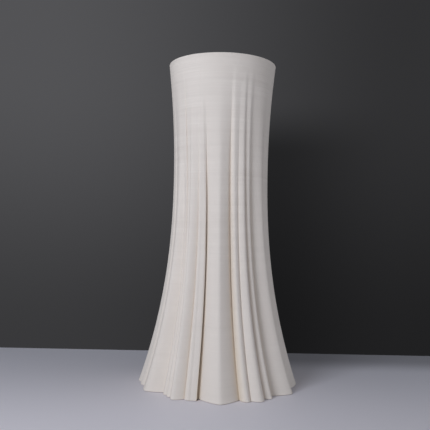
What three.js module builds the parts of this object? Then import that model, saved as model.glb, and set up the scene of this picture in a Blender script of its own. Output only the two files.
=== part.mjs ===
// A tall pleated vase printed in one piece. Its wall starts as a smooth round rim, narrows to a waist
// and falls to a flared foot in vertical folds, like hanging cloth. It is hollow, open at the top and
// closed by a floor. Millimetres, +Z up; the origin is the centre of the foot on the table.
import * as THREE from 'three'

// Driving dimensions of the plain flared profile, which the folds move in and out of.
const HEIGHT = 600
const RIM_RADIUS = 102
const WAIST_RADIUS = 90
const HEM_RADIUS = 150
const WAIST_HEIGHT = 396
const NECK_CURVE = 2
const FLARE_CURVE = 2.26

// Wall, floor and lip.
const WALL = 5
const FLOOR = 8
const LIP_ROUND = 1.6

// How fast a fold deepens below the height where it starts, and how early in its height it leans.
const FOLD_GROWTH = 0.97
const LEAN_CURVE = 0.7
// Half the width of the rounding along each crest, in degrees.
const CREST_ROUNDING = 1.8

// Mesh density: widest step around the vase in degrees, and the heights of the rings.
const COLUMN_STEP = 2.6
const RING_HEIGHTS = [0, 30, 70, 115, 170, 230, 300, 370, 440, 500, 550, 580]
const WALL_SAMPLES = 6

// The finish: pale unglazed clay.
const CLAY_COLOUR = 0xddd6c9
const CLAY_ROUGHNESS = 0.85

// One fold is a crease and the crest that follows it, going anticlockwise seen from above. Angles are
// at the hem, in degrees from the front (-Y), positive towards +X; lean is how far the fold has turned
// back at the rim. Depth and rise are how far the crease lies inside the plain profile and the crest
// outside it, at the hem. A soft crease is a rounded hollow, and a full lobe is an arch that drops
// straight into its creases. The fold starts at the height start and deepens from there down.
const FOLDS = [
  { crease: -14, depth: 17.5, soft: 0, crest: 2.2, rise: 11, full: 0, lean: 4.3, start: 540 },
  { crease: 16.5, depth: 12.5, soft: 0, crest: 20.2, rise: 3.5, full: 0.9, lean: 6, start: 585 },
  { crease: 23, depth: 2, soft: 0.3, crest: 28.5, rise: 9.5, full: 0.8, lean: 3, start: 570 },
  { crease: 33.5, depth: 6.5, soft: 0, crest: 38, rise: 3.5, full: 0.6, lean: 5, start: 575 },
  { crease: 42, depth: 11.5, soft: 0.4, crest: 57, rise: 9.5, full: 0.2, lean: 4.3, start: 575 },
  { crease: 65, depth: 10, soft: 0.2, crest: 83, rise: 0, full: 0.6, lean: 1, start: 560 },
  { crease: 92, depth: 12, soft: 0, crest: 99, rise: 1, full: 0.7, lean: 2, start: 570 },
  { crease: 108, depth: 17, soft: 0, crest: 121, rise: 6, full: 0.4, lean: 3, start: 560 },
  { crease: 134, depth: 14, soft: 0, crest: 139, rise: 0, full: 0.7, lean: 4, start: 570 },
  { crease: 144, depth: 6, soft: 0.6, crest: 149, rise: 4, full: 0.7, lean: 4, start: 560 },
  { crease: 157, depth: 18, soft: 0, crest: 171, rise: 8, full: 0.1, lean: 4, start: 540 },
  { crease: 183, depth: 17, soft: 0, crest: 189, rise: 1, full: 0.8, lean: 3, start: 560 },
  { crease: 193, depth: 4, soft: 0.6, crest: 199, rise: 3, full: 0.8, lean: 3, start: 570 },
  { crease: 206, depth: 12, soft: 0, crest: 217, rise: 5, full: 0.5, lean: 2, start: 560 },
  { crease: 228, depth: 13, soft: 0, crest: 233, rise: -2, full: 0.7, lean: 2, start: 550 },
  { crease: 238, depth: 7, soft: 0.7, crest: 243, rise: -1, full: 0.7, lean: 3, start: 540 },
  { crease: 250, depth: 11, soft: 0.3, crest: 259, rise: 0.5, full: 0.6, lean: 4, start: 560 },
  { crease: 267, depth: 8, soft: 0.3, crest: 275, rise: -1.5, full: 0.6, lean: 2, start: 560 },
  { crease: 281, depth: 7, soft: 0.3, crest: 286, rise: -3.5, full: 0.6, lean: -2, start: 520 },
  { crease: 291.5, depth: 7.5, soft: 0.3, crest: 304, rise: 4.5, full: 0.1, lean: 0, start: 560 },
  { crease: 315.5, depth: 17, soft: 0.4, crest: 320, rise: -8, full: 0.3, lean: 6, start: 440 },
  { crease: 322.5, depth: 8.5, soft: 0.4, crest: 325, rise: -2.5, full: 0.6, lean: 8, start: 590 },
  { crease: 327.5, depth: 3.5, soft: 0.5, crest: 331, rise: 7, full: 0.4, lean: 8.5, start: 530 },
  { crease: 337.6, depth: 7.5, soft: 0.2, crest: 341, rise: -0.5, full: 0.8, lean: 6, start: 540 },
  { crease: 343, depth: 2.5, soft: 1, crest: 345.4, rise: -4, full: 0.9, lean: 4.6, start: 590 },
]

const TURN = 360
const smooth = (t) => t * t * (3 - 2 * t)

// Radius of the plain profile: a narrow waist, a slightly wider rim and a wide foot.
function profileRadius(z) {
  const fromWaist = z - WAIST_HEIGHT
  if (fromWaist > 0) {
    const up = fromWaist / (HEIGHT - WAIST_HEIGHT)
    return WAIST_RADIUS + (RIM_RADIUS - WAIST_RADIUS) * up ** NECK_CURVE
  }
  const down = -fromWaist / WAIST_HEIGHT
  return WAIST_RADIUS + (HEM_RADIUS - WAIST_RADIUS) * down ** FLARE_CURVE
}

// How much of its depth at the hem a fold has at a height: none at its start, all of it at the hem.
function foldStrength(fold, z) {
  return Math.max(0, (fold.start - z) / fold.start) ** FOLD_GROWTH
}

// Climb from a crease (0) to a crest (1): a straight flank with a rounded crest, an arch or a soft wave.
function climb(fraction, spanDegrees, soft, full) {
  const round = CREST_ROUNDING / spanDegrees
  const away = 1 - fraction
  const straight = 1 - (Math.hypot(away, round) - round) / (Math.hypot(1, round) - round)
  const arch = Math.sqrt(1 - away * away)
  const flank = straight + (arch - straight) * full
  return flank * (1 - soft) + smooth(fraction) * soft
}

// The two flanks of every fold in order around the hem: up from its crease to its crest, then down
// to the crease of the next fold.
function listFlanks() {
  return FOLDS.flatMap((fold, index) => {
    const next = FOLDS[(index + 1) % FOLDS.length]
    const nextCrease = next.crease + (next.crease < fold.crest ? TURN : 0)
    return [
      { creased: fold, crested: fold, from: fold.crease, to: fold.crest, rising: true },
      { creased: next, crested: fold, from: fold.crest, to: nextCrease, rising: false },
    ]
  })
}
const flanks = listFlanks()

// Outer radius at an angle of the hem, in degrees, and a height.
function outerRadius(angle, z) {
  const start = FOLDS[0].crease
  const turned = start + ((((angle - start) % TURN) + TURN) % TURN)
  const flank = flanks.find((item) => turned <= item.to)
  const span = flank.to - flank.from
  const along = (turned - flank.from) / span
  const fraction = flank.rising ? along : 1 - along
  const crease = -flank.creased.depth * foldStrength(flank.creased, z)
  const crest = flank.crested.rise * foldStrength(flank.crested, z)
  const climbed = climb(fraction, span, flank.creased.soft, flank.crested.full)
  return profileRadius(z) + crease + (crest - crease) * climbed
}

// Inner radius: the wall's thickness inside the outer surface, measured square to it, so the lowest of
// the arcs of that radius drawn around the outer points on both sides.
function innerRadius(angle, z) {
  let lowest = Infinity
  for (let sample = -WALL_SAMPLES; sample <= WALL_SAMPLES; sample++) {
    const aside = (WALL * sample) / WALL_SAMPLES
    const outer = outerRadius(angle + THREE.MathUtils.radToDeg(aside / profileRadius(z)), z)
    lowest = Math.min(lowest, outer - Math.sqrt(WALL * WALL - aside * aside))
  }
  return lowest
}

// The columns: their angle at the hem and how far they lean. Every crease and crest has one, with even
// steps between them.
function listColumns() {
  return flanks.flatMap((flank) => {
    const first = flank.rising ? flank.creased : flank.crested
    const last = flank.rising ? flank.crested : flank.creased
    const steps = Math.ceil((flank.to - flank.from) / COLUMN_STEP)
    return Array.from({ length: steps }, (_, step) => {
      const along = step / steps
      return {
        angle: flank.from + (flank.to - flank.from) * along,
        lean: first.lean + (last.lean - first.lean) * along,
      }
    })
  })
}

// One closed ring of points at a height, with its radius given by a function of the hem angle.
function ring(columns, z, radiusOf) {
  const leaning = (z / HEIGHT) ** LEAN_CURVE
  return columns.map(({ angle, lean }) => {
    const turned = THREE.MathUtils.degToRad(angle - lean * leaning)
    const radius = radiusOf(angle)
    return new THREE.Vector3(radius * Math.sin(turned), -radius * Math.cos(turned), z)
  })
}

// All rings in order: up the outside, over the rounded lip and down the inside to the floor.
function vaseRings(columns) {
  const lipStart = HEIGHT - LIP_ROUND
  const outside = [...RING_HEIGHTS, lipStart].map((z) => ring(columns, z, (a) => outerRadius(a, z)))
  const lip = [
    ring(columns, HEIGHT, (a) => outerRadius(a, HEIGHT) - LIP_ROUND),
    ring(columns, HEIGHT, (a) => innerRadius(a, HEIGHT) + LIP_ROUND),
  ]
  const insideHeights = [lipStart, ...RING_HEIGHTS.slice(1).reverse(), FLOOR]
  const inside = insideHeights.map((z) => ring(columns, z, (a) => innerRadius(a, z)))
  return [...outside, ...lip, ...inside]
}

// A closed surface through the rings, with the first and the last ring filled towards their centres.
function closedSurface(rings, firstCentre, lastCentre) {
  const count = rings[0].length
  const points = [...rings.flat(), firstCentre, lastCentre]
  const first = points.length - 2
  const last = points.length - 1
  const indices = []
  for (let column = 0; column < count; column++) {
    const next = (column + 1) % count
    indices.push(first, next, column)
    for (let row = 0; row < rings.length - 1; row++) {
      const lower = row * count
      const upper = lower + count
      indices.push(lower + column, lower + next, upper + next)
      indices.push(lower + column, upper + next, upper + column)
    }
    const top = (rings.length - 1) * count
    indices.push(last, top + column, top + next)
  }
  const geometry = new THREE.BufferGeometry().setFromPoints(points)
  geometry.setIndex(indices)
  geometry.computeVertexNormals()
  return geometry
}

function vaseBody() {
  const rings = vaseRings(listColumns())
  const underside = new THREE.Vector3(0, 0, 0)
  const floorCentre = new THREE.Vector3(0, 0, FLOOR)
  const clay = new THREE.MeshStandardMaterial({ color: CLAY_COLOUR, roughness: CLAY_ROUGHNESS, metalness: 0 })
  const mesh = new THREE.Mesh(closedSurface(rings, underside, floorCentre), clay)
  mesh.name = 'vase_body'
  return mesh
}

const group = new THREE.Group()
group.add(vaseBody())

export default group
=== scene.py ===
from collections import namedtuple
from math import cos, hypot, pi, radians, sin, sqrt

import bpy
import numpy as np
from mathutils import Matrix, Vector


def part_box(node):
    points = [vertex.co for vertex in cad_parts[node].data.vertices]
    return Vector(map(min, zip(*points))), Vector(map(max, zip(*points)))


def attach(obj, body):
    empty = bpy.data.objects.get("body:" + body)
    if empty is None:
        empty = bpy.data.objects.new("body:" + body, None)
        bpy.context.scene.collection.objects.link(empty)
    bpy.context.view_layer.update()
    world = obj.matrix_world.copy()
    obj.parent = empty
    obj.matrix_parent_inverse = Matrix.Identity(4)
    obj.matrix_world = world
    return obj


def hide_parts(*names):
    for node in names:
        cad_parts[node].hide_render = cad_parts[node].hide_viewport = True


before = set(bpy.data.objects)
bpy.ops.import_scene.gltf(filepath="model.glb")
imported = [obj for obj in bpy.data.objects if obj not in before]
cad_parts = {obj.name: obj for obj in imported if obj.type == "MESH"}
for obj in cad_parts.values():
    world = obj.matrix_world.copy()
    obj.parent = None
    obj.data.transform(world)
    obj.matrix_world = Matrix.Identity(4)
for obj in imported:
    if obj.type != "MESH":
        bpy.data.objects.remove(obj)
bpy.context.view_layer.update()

# The vase as packed, in metres: its box gives the height, and everything else is set out from that.
BODY_LOW, BODY_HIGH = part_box("vase_body")
HEIGHT = BODY_HIGH.z - BODY_LOW.z

# Camera: a normal lens on a square frame, about two vase heights away and just under half way up.
LENS_MM = 50
SENSOR_MM = 36
CAMERA_DISTANCE = 1.909 * HEIGHT
CAMERA_HEIGHT = 0.491 * HEIGHT
CAMERA_PITCH = radians(1.02)
CAMERA_YAW = radians(0.47)
CAMERA_ROLL = radians(1.05)

# The plain flared profile, the wall and the lip, in metres.
RIM_RADIUS = 0.17 * HEIGHT
WAIST_RADIUS = 0.15 * HEIGHT
HEM_RADIUS = HEIGHT / 4
WAIST_HEIGHT = 0.66 * HEIGHT
NECK_CURVE = 2.0
FLARE_CURVE = 2.26
WALL = 0.005
FLOOR = 0.008
LIP_ROUND = 0.0022
HEM_RISE = 0.0016
HEM_DEPTH = 0.005

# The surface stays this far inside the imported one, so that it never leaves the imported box.
INSET = 0.0002

# How fast a fold deepens below its start, and how early in its height it leans.
FOLD_GROWTH = 0.97
LEAN_CURVE = 0.7
# Half the width of the rounding along each crest, in degrees.
CREST_ROUNDING = 1.8
# A crease has its own sharpness from this strength on, and is a soft wave above it.
SHARP_STRENGTH = 0.4
# Slots and curled crests open again as a fold's strength comes near to this.
OPENING = 1.2
SLOT_WIDTH = 0.003
SLOT_GROWTH = 3
CURL_START = 420
# How far the painted warm shade reaches from a crease, how it grows down the fold, and the product of slot
# and depth from which a crease has all of it.
CREASE_SHADE_REACH = 0.0055
CREASE_SHADE_GROWTH = 1.5
FULLY_PINCHED = 35

# Mesh density of the visual surface.
COLUMN_STEP = 0.62
CREASE_CROWDING = 1.6
LEAST_STEPS = 8
OUTER_ROWS = 110
INNER_ROWS = 16
LIP_STEPS = 6
HEM_STEPS = 5
WALL_SAMPLES = 6
SHARP_EDGE = radians(50)

MM = 0.001
TURN = 360

# The clay: the printed layers and the uneven bands among them, the blotches and the grain, each with
# how much it changes the tone between dark and light or how far it stands out, and the colours.
LAYER_PITCH = 0.0022
LAYER_TONE = 0.7
LAYER_RELIEF = 0.0003
BAND_PITCH = 0.009
BAND_TONE = 1.1
BAND_RELIEF = 0.0009
BLOTCH_TONE = 0.6
GRAIN_RELIEF = 0.00005
CLAY_DARK = (0.76, 0.67, 0.585)
CLAY_LIGHT = (0.86, 0.77, 0.68)
# Painted shade: this warmer, darker clay colour is laid into the tight creases for their shade and the warm
# light bounced there.
CLAY_CREASE_SHADE = (0.79, 0.685, 0.56)

# The table top with its painted shade and painted shadow, the backdrop and the light.
# Painted shade: the table top is coloured lighter at the front and darker at the back, as the light falls
# off, and darker still in a painted shadow behind on the right.
FLOOR_SHADED_BACK = (0.63, 0.6, 0.63)
FLOOR_LIT_FRONT = (0.94, 0.87, 0.89)
FLOOR_PAINTED_SHADOW = (0.53, 0.53, 0.53)
FLOOR_ROUGHNESS = 0.6
BACKDROP = (0.0255, 0.0255, 0.027)
ROOM = (0.272, 0.294, 0.329)
LIGHT_TINT = (0.825, 0.893, 1)
KEY_PLACE = (-1.0, -1.4, 1.0)
KEY_SIZE = (0.75, 0.75)
KEY_POWER = 17.8
FILL_PLACE = (1.8, 0, 0.35)
FILL_SIZE = (1.0, 1.0)
FILL_POWER = 4.7

# One fold is a crease and the crest that follows it, going anticlockwise seen from above. Angles are
# in degrees at the hem, from the front and positive towards +X; lean is how far the fold has turned
# back at the rim, and curl how far its crest hangs over the next crease. Lengths are millimetres at
# the hem. A soft crease is a rounded hollow and a slot is how deep it is pinched. A full lobe is an
# arch that drops straight into its creases. The fold begins at the height start.
Fold = namedtuple("Fold", "crease depth soft slot crest rise full lean start curl", defaults=[0])
FOLDS = [
    Fold(-14, 17.5, 0, 2.4, 2.2, 11, 0, 4.3, 540),
    Fold(16.5, 12.5, 0, 3, 20.2, 3.5, 0.9, 6, 585),
    Fold(23, 2, 0.3, 0, 28.5, 9.5, 0.8, 3, 570),
    Fold(33.5, 6.5, 0, 0, 38, 3.5, 0.6, 5, 575),
    Fold(42, 11.5, 0.4, 1, 57, 9.5, 0.2, 4.3, 575),
    Fold(65, 10, 0.2, 0, 83, 0, 0.6, 1, 560),
    Fold(92, 12, 0, 3, 99, 1, 0.7, 2, 570),
    Fold(108, 17, 0, 5, 121, 6, 0.4, 3, 560),
    Fold(134, 14, 0, 4, 139, 0, 0.7, 4, 570),
    Fold(144, 6, 0.6, 0, 149, 4, 0.7, 4, 560),
    Fold(157, 18, 0, 8, 171, 8, 0.1, 4, 540),
    Fold(183, 17, 0, 5, 189, 1, 0.8, 3, 560),
    Fold(193, 4, 0.6, 0, 199, 3, 0.8, 3, 570),
    Fold(206, 12, 0, 5, 217, 5, 0.5, 2, 560),
    Fold(228, 13, 0, 4, 233, -2, 0.7, 2, 550),
    Fold(238, 7, 0.7, 0, 243, -1, 0.7, 3, 540),
    Fold(250, 11, 0.3, 2, 259, 0.5, 0.6, 4, 560),
    Fold(267, 8, 0.3, 0, 275, -1.5, 0.6, 2, 560),
    Fold(281, 7, 0.3, 0, 286, -3.5, 0.6, -2, 520),
    Fold(291.5, 7.5, 0.3, 1, 304, 4.5, 0.1, 0, 560),
    Fold(315.5, 17, 0.4, 0, 320, -8, 0.3, 6, 440),
    Fold(322.5, 8.5, 0.4, 0.5, 325, -2.5, 0.6, 8, 590),
    Fold(327.5, 3.5, 0.5, 0, 331, 7, 0.4, 8.5, 530),
    Fold(337.6, 7.5, 0.2, 1, 341, -0.5, 0.8, 6, 540),
    Fold(343, 2.5, 1, 0, 345.4, -4, 0.9, 4.6, 590, 2.2),
]


def make_camera():
    camera = bpy.data.objects.new("camera", bpy.data.cameras.new("camera"))
    bpy.context.scene.collection.objects.link(camera)
    camera.data.lens = LENS_MM
    camera.data.sensor_width = SENSOR_MM
    turn = Matrix.Rotation(CAMERA_YAW, 4, "Z")
    lean = Matrix.Rotation(pi / 2 + CAMERA_PITCH, 4, "X")
    roll = Matrix.Rotation(CAMERA_ROLL, 4, "Z")
    place = Matrix.Translation((0, -CAMERA_DISTANCE, CAMERA_HEIGHT))
    camera.matrix_world = place @ turn @ lean @ roll
    bpy.context.scene.camera = camera


def profile_radius(z):
    from_waist = z - WAIST_HEIGHT
    up = np.clip(from_waist / (HEIGHT - WAIST_HEIGHT), 0, None)
    down = np.clip(-from_waist / WAIST_HEIGHT, 0, None)
    neck = (RIM_RADIUS - WAIST_RADIUS) * up ** NECK_CURVE
    flare = (HEM_RADIUS - WAIST_RADIUS) * down ** FLARE_CURVE
    return WAIST_RADIUS + neck + flare


def fold_strength(start, z):
    top = start * MM
    return np.clip((top - z) / top, 0, None) ** FOLD_GROWTH


def softness(fold, z):
    """A crease begins as a soft wave and has its own sharpness further down."""
    fresh = np.clip(1 - fold_strength(fold.start, z) / SHARP_STRENGTH, 0, 1)
    return fold.soft + (1 - fold.soft) * fresh


def crest_height(fold, z):
    """How far a crest stands out. A curled one comes up out of the crease that it hangs over lower down."""
    height = fold.rise * MM * fold_strength(fold.start, z)
    if not fold.curl:
        return height
    crease = FOLDS[(FOLDS.index(fold) + 1) % len(FOLDS)]
    buried = -crease.depth * MM * fold_strength(crease.start, z)
    return height + (buried - height) * softness(crease, z)


def fullest_half_way(strength):
    """Up to 1 about half way down a fold and less again towards the hem, where the fold opens."""
    return strength * (OPENING - strength) * 4 / OPENING ** 2


def climb(fraction, span, soft, full):
    """From 0 at the crease to 1 at the crest: a straight flank, an arch or a soft wave."""
    edge = CREST_ROUNDING / span
    away = 1 - fraction
    straight = 1 - (np.hypot(away, edge) - edge) / (hypot(1, edge) - edge)
    arch = np.sqrt(1 - away ** 2)
    flank = straight + (arch - straight) * full
    return flank * (1 - soft) + fraction ** 2 * (3 - 2 * fraction) * soft


def list_flanks():
    """Both sides of each fold: (fold of the crease, fold of the crest, from angle, to angle, rising)."""
    flanks = []
    for index, fold in enumerate(FOLDS):
        following = FOLDS[(index + 1) % len(FOLDS)]
        next_crease = following.crease + (TURN if following.crease < fold.crest else 0)
        flanks.append((fold, fold, fold.crease, fold.crest, True))
        flanks.append((following, fold, fold.crest, next_crease, False))
    return flanks


def flanks_over(angles):
    """Each flank with the columns it covers, how far along it they are from its crease, and its span."""
    start = FOLDS[0].crease
    turned = start + (angles - start) % TURN
    for creased, crested, low, high, rising in list_flanks():
        here = (turned >= low) & (turned < high)
        along = (turned[here] - low) / (high - low)
        yield creased, crested, here, along if rising else 1 - along, high - low


def outer_radius(angles, heights):
    """Outer radius in metres on the grid of hem angles (columns) and heights (rows)."""
    z = heights[:, None]
    radius = np.zeros((len(heights), len(angles)))
    for creased, crested, here, fraction, span in flanks_over(angles):
        crease = -creased.depth * MM * fold_strength(creased.start, z)
        crest = crest_height(crested, z)
        rise = climb(fraction, span, softness(creased, z), crested.full)
        tightness = fullest_half_way(fold_strength(creased.start, z)) ** SLOT_GROWTH
        pinch = -creased.slot * MM * tightness
        aside = np.radians(fraction * span) * profile_radius(z)
        radius[:, here] = crease + (crest - crease) * rise + pinch * np.exp(-((aside / SLOT_WIDTH) ** 2))
    return radius + profile_radius(z) - INSET


def crease_shade_nearness(angles, heights):
    """From 0 away from the creases to 1 in the tight deep ones, on the same grid, for the painted shade in
    the creases.
    """
    z = heights[:, None]
    nearness = np.zeros((len(heights), len(angles)))
    for creased, crested, here, fraction, span in flanks_over(angles):
        aside = np.radians(fraction * span) * profile_radius(z)
        pinched = min(1, creased.slot * creased.depth / FULLY_PINCHED)
        depth = pinched * fold_strength(creased.start, z) ** CREASE_SHADE_GROWTH
        nearness[:, here] = depth * np.exp(-((aside / CREASE_SHADE_REACH) ** 2))
    return nearness


def inner_radius(angles, heights):
    lowest = None
    for sample in range(-WALL_SAMPLES, WALL_SAMPLES + 1):
        aside = WALL * sample / WALL_SAMPLES
        outer = outer_radius(angles + np.degrees(aside / WAIST_RADIUS), heights)
        arc = outer - sqrt(WALL * WALL - aside * aside)
        lowest = arc if lowest is None else np.minimum(lowest, arc)
    return lowest


def column_angles():
    """Hem angle, lean and curl of every column, closer together towards the creases."""
    angles, leans, curls = [], [], []
    for creased, crested, low, high, rising in list_flanks():
        steps = max(LEAST_STEPS, round((high - low) / COLUMN_STEP))
        share = np.arange(steps) / steps
        along = share ** CREASE_CROWDING if rising else 1 - (1 - share) ** CREASE_CROWDING
        first, last = (creased, crested) if rising else (crested, creased)
        angles.append(low + (high - low) * along)
        leans.append(first.lean + (last.lean - first.lean) * along)
        curls.append(crested.curl * (along if rising else 1 - along))
    return np.concatenate(angles), np.concatenate(leans), np.concatenate(curls)


def hem_rings(angles):
    """The slightly rounded edge the vase stands on."""
    outer = outer_radius(angles, np.array([0]))[0]
    rings = []
    for step in range(HEM_STEPS):
        swing = pi / 2 * step / HEM_STEPS
        rings.append((outer - HEM_DEPTH * (1 - sin(swing)), HEM_RISE * (1 - cos(swing))))
    return rings


def lip_rings(angles):
    """The rounded lip: half an arc from the outside to the flat top and half back down the inside."""
    outer = outer_radius(angles, np.array([HEIGHT]))[0]
    inner = inner_radius(angles, np.array([HEIGHT]))[0]
    rings = []
    for step in range(1, LIP_STEPS + 1):
        swing = pi / 2 * step / LIP_STEPS
        rings.append((outer - LIP_ROUND * (1 - cos(swing)), HEIGHT - LIP_ROUND * (1 - sin(swing))))
    for step in range(LIP_STEPS + 1):
        swing = pi / 2 * (1 - step / LIP_STEPS)
        rings.append((inner + LIP_ROUND * (1 - cos(swing)), HEIGHT - LIP_ROUND * (1 - sin(swing))))
    return rings


def outer_rings(angles):
    rise = np.linspace(HEM_RISE, HEIGHT - LIP_ROUND, OUTER_ROWS)
    return hem_rings(angles) + list(zip(outer_radius(angles, rise), rise))


def inner_rings(angles):
    fall = np.linspace(HEIGHT - LIP_ROUND, FLOOR, INNER_ROWS)[1:]
    return list(zip(inner_radius(angles, fall), fall))


def ring_points(radii, z, angles, leans, curls):
    curled = curls * fullest_half_way(fold_strength(CURL_START, z))
    turned = np.radians(angles - leans * (z / HEIGHT) ** LEAN_CURVE + curled)
    return np.column_stack((radii * np.sin(turned), -radii * np.cos(turned), np.full(len(radii), z)))


def wall_faces(rows, count):
    """Quads between each ring of points and the next."""
    faces = []
    for row in range(rows - 1):
        low, high = row * count, (row + 1) * count
        for column in range(count):
            after = (column + 1) % count
            faces.append((low + column, low + after, high + after, high + column))
    return faces


def end_faces(rows, count):
    """Fans that close the underside and the floor inside, around the two points after the rings."""
    underside, floor_centre = rows * count, rows * count + 1
    last = (rows - 1) * count
    faces = []
    for column in range(count):
        after = (column + 1) % count
        faces.append((underside, after, column))
        faces.append((floor_centre, last + column, last + after))
    return faces


def store_crease_shade(mesh, angles, outside):
    """Keep how near each point of the outside is to a tight crease, for the painted shade there; it is 0 on
    the rest of the mesh.
    """
    heights = np.array([z for _, z in outside])
    nearness = np.zeros(len(mesh.vertices))
    nearness[: len(outside) * len(angles)] = crease_shade_nearness(angles, heights).ravel()
    mesh.attributes.new("crease", "FLOAT", "POINT").data.foreach_set("value", nearness)


def vase_mesh():
    """Up the outside, over the lip and down the inside; the inside doesn't follow the curled crests."""
    angles, leans, curls = column_angles()
    outside = outer_rings(angles)
    inside = lip_rings(angles) + inner_rings(angles)
    rings = [ring_points(radii, z, angles, leans, curls) for radii, z in outside]
    rings += [ring_points(radii, z, angles, leans, 0) for radii, z in inside]
    centres = np.array([[0, 0, 0], [0, 0, FLOOR]])
    points = np.concatenate([*rings, centres])
    faces = wall_faces(len(rings), len(angles)) + end_faces(len(rings), len(angles))
    mesh = bpy.data.meshes.new("vase")
    mesh.from_pydata(points.tolist(), [], faces)
    mesh.polygons.foreach_set("use_smooth", [True] * len(mesh.polygons))
    store_crease_shade(mesh, angles, outside)
    return mesh


def make_vase():
    vase = bpy.data.objects.new("pleated_vase", vase_mesh())
    bpy.context.scene.collection.objects.link(vase)
    vase.data.materials.append(clay_material())
    vase.data.set_sharp_from_angle(angle=SHARP_EDGE)
    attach(vase, "root")
    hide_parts("vase_body")


def add_node(tree, kind, **settings):
    node = tree.nodes.new(kind)
    for name, value in settings.items():
        setattr(node, name, value)
    return node


def noise(tree, vector, scale, detail):
    """Fractal noise between 0 and 1 over the given coordinates, in features per metre."""
    node = add_node(tree, "ShaderNodeTexNoise")
    node.inputs["Scale"].default_value = scale
    node.inputs["Detail"].default_value = detail
    tree.links.new(vector, node.inputs["Vector"])
    return node.outputs["Fac"]


def stretched(tree, position, scale):
    node = add_node(tree, "ShaderNodeVectorMath", operation="MULTIPLY")
    node.inputs[1].default_value = scale
    tree.links.new(position, node.inputs[0])
    return node.outputs["Vector"]


def weighted(tree, value, weight, base):
    """value * weight + base."""
    node = add_node(tree, "ShaderNodeMath", operation="MULTIPLY_ADD")
    tree.links.new(value, node.inputs[0])
    node.inputs[1].default_value = weight
    if isinstance(base, (int, float)):
        node.inputs[2].default_value = base
    else:
        tree.links.new(base, node.inputs[2])
    return node.outputs[0]


def product(tree, first, second):
    node = add_node(tree, "ShaderNodeMath", operation="MULTIPLY")
    tree.links.new(first, node.inputs[0])
    tree.links.new(second, node.inputs[1])
    return node.outputs[0]


def feed(tree, value, socket):
    """Give a colour socket either a plain colour or another node's result."""
    if isinstance(value, tuple):
        socket.default_value = (*value, 1)
    else:
        tree.links.new(value, socket)


def blended(tree, factor, low, high):
    node = add_node(tree, "ShaderNodeMix", data_type="RGBA")
    tree.links.new(factor, node.inputs["Factor"])
    feed(tree, low, node.inputs["A"])
    feed(tree, high, node.inputs["B"])
    return node.outputs["Result"]


def clay_layers(tree, position):
    """Level layer lines and wider bands, both around 0, in patches and clearer near the rim."""
    layers = noise(tree, stretched(tree, position, (0.02, 0.02, 1)), 1 / LAYER_PITCH, 1)
    bands = noise(tree, stretched(tree, position, (0.04, 0.04, 1)), 1 / BAND_PITCH, 3)
    split = add_node(tree, "ShaderNodeSeparateXYZ")
    tree.links.new(position, split.inputs["Vector"])
    towards_rim = faded(tree, split.outputs["Z"], 0.1, 0.55, 0.6, 1.35)
    patches = product(tree, faded(tree, noise(tree, position, 14, 2), 0.4, 0.65, 0.35, 1), towards_rim)
    lines = product(tree, weighted(tree, layers, 1, -0.5), patches)
    stripes = product(tree, weighted(tree, bands, 1, -0.5), patches)
    return lines, stripes


def clay_bump(tree, lines, stripes, grain):
    fine_relief = weighted(tree, lines, LAYER_RELIEF, weighted(tree, grain, GRAIN_RELIEF, 0))
    relief = weighted(tree, stripes, BAND_RELIEF, fine_relief)
    bump = add_node(tree, "ShaderNodeBump")
    bump.inputs["Distance"].default_value = 1
    bump.inputs["Strength"].default_value = 1
    tree.links.new(relief, bump.inputs["Height"])
    return bump.outputs["Normal"]


def clay_material():
    """Pale unglazed clay with printed layers, soft blotches, fine grain, and painted warm shade in the
    tight creases.
    """
    material = bpy.data.materials.new("unglazed_clay")
    material.use_nodes = True
    tree = material.node_tree
    shader = tree.nodes["Principled BSDF"]
    position = add_node(tree, "ShaderNodeNewGeometry").outputs["Position"]
    lines, stripes = clay_layers(tree, position)
    grain = noise(tree, position, 1400, 2)
    blotches = weighted(tree, noise(tree, position, 9, 3), BLOTCH_TONE, 0.2)
    tone = weighted(tree, lines, LAYER_TONE, weighted(tree, stripes, BAND_TONE, blotches))
    colour = blended(tree, tone, CLAY_DARK, CLAY_LIGHT)
    # Painted shade: the crease attribute blends the warmer, darker clay in along the tight creases.
    crease = add_node(tree, "ShaderNodeAttribute", attribute_name="crease").outputs["Fac"]
    tree.links.new(blended(tree, crease, colour, CLAY_CREASE_SHADE), shader.inputs["Base Color"])
    tree.links.new(weighted(tree, grain, 0.2, 0.78), shader.inputs["Roughness"])
    tree.links.new(clay_bump(tree, lines, stripes, grain), shader.inputs["Normal"])
    return material


def floor_material():
    """A smooth pale table top with painted shade: darker towards its back edge, and a painted shadow
    darkest behind on the right.
    """
    material = bpy.data.materials.new("pale_floor")
    material.use_nodes = True
    tree = material.node_tree
    shader = tree.nodes["Principled BSDF"]
    position = add_node(tree, "ShaderNodeNewGeometry").outputs["Position"]
    split = add_node(tree, "ShaderNodeSeparateXYZ")
    tree.links.new(position, split.inputs["Vector"])
    across, deep, _ = split.outputs
    # Painted shade: lighter at the front, darker towards the back edge.
    pale = blended(tree, faded(tree, deep, -0.5, 0.27, 1, 0), FLOOR_SHADED_BACK, FLOOR_LIT_FRONT)
    # Painted shadow on the table behind on the right.
    painted_shadow_mask = product(tree, faded(tree, across, -0.1, 0.15, 0, 1), faded(tree, deep, 0.08, 0.2, 0, 1))
    shadowed = blended(tree, painted_shadow_mask, (1, 1, 1), FLOOR_PAINTED_SHADOW)
    tinted = add_node(tree, "ShaderNodeVectorMath", operation="MULTIPLY")
    tree.links.new(pale, tinted.inputs[0])
    tree.links.new(shadowed, tinted.inputs[1])
    tree.links.new(tinted.outputs["Vector"], shader.inputs["Base Color"])
    shader.inputs["Roughness"].default_value = FLOOR_ROUGHNESS
    return material


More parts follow.
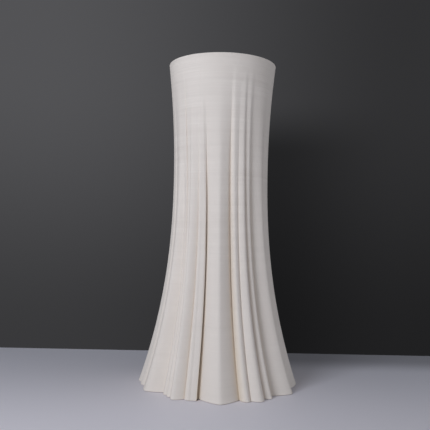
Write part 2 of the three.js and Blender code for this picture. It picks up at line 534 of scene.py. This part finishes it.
def make_floor():
    """A pale table top whose back edge is about half a vase height behind the vase."""
    back, front, side = 0.425 * HEIGHT, -2.2 * HEIGHT, 2.6 * HEIGHT
    mesh = bpy.data.meshes.new("floor")
    corners = [(-side, front, 0), (side, front, 0), (side, back, 0), (-side, back, 0)]
    mesh.from_pydata(corners, [], [(0, 1, 2, 3)])
    floor = bpy.data.objects.new("floor", mesh)
    bpy.context.scene.collection.objects.link(floor)
    mesh.materials.append(floor_material())


def area_light(name, place, target, size, power):
    data = bpy.data.lights.new(name, "AREA")
    data.shape = "RECTANGLE"
    data.size, data.size_y = size
    data.energy = power
    data.color = LIGHT_TINT
    light = bpy.data.objects.new(name, data)
    light.location = place
    light.rotation_euler = (Vector(target) - Vector(place)).to_track_quat("-Z", "Y").to_euler()
    bpy.context.scene.collection.objects.link(light)


def make_lights():
    middle = (0, 0, 0.5 * HEIGHT)
    area_light("key", KEY_PLACE, middle, KEY_SIZE, KEY_POWER)
    area_light("side_fill", FILL_PLACE, middle, FILL_SIZE, FILL_POWER)
    make_room_light()


def faded(tree, value, start, end, low, high):
    """A smooth change from low to high as the value goes from start to end."""
    node = add_node(tree, "ShaderNodeMapRange", interpolation_type="SMOOTHSTEP")
    node.inputs["From Min"].default_value = start
    node.inputs["From Max"].default_value = end
    node.inputs["To Min"].default_value = low
    node.inputs["To Max"].default_value = high
    tree.links.new(value, node.inputs["Value"])
    return node.outputs["Result"]


def make_room_light():
    """A dark backdrop with painted light, lighter towards the upper left, and a painted shadow of the vase
    to its right; a lighter room on the camera's side.
    """
    world = bpy.data.worlds.new("room")
    bpy.context.scene.world = world
    world.use_nodes = True
    tree = world.node_tree
    direction = add_node(tree, "ShaderNodeTexCoord")
    split = add_node(tree, "ShaderNodeSeparateXYZ")
    tree.links.new(direction.outputs["Generated"], split.inputs["Vector"])
    across, behind, up = split.outputs
    # Painted light on the backdrop: lighter towards the left and towards the top.
    side = faded(tree, across, -0.3, 0.3, 2.35, 0.85)
    level = faded(tree, up, -0.2, 0.25, 0.68, 1.45)
    # Painted shadow of the vase on the backdrop, to the right of the vase and low down.
    shaded = product(tree, faded(tree, across, 0, 0.05, 0, 0.6), faded(tree, across, 0.07, 0.3, 1, 0))
    shaded = product(tree, shaded, faded(tree, up, 0.12, 0.21, 1, 0))
    shade = product(tree, product(tree, side, level), weighted(tree, shaded, -1, 1))
    backdrop = blended(tree, shade, (0, 0, 0), BACKDROP)
    backdrop.node.clamp_factor = False
    around = blended(tree, faded(tree, behind, -0.3, 0.5, 0, 1), ROOM, backdrop)
    tree.links.new(around, tree.nodes["Background"].inputs["Color"])


bpy.context.scene.view_settings.view_transform = "Standard"
make_camera()
make_vase()
make_floor()
make_lights()
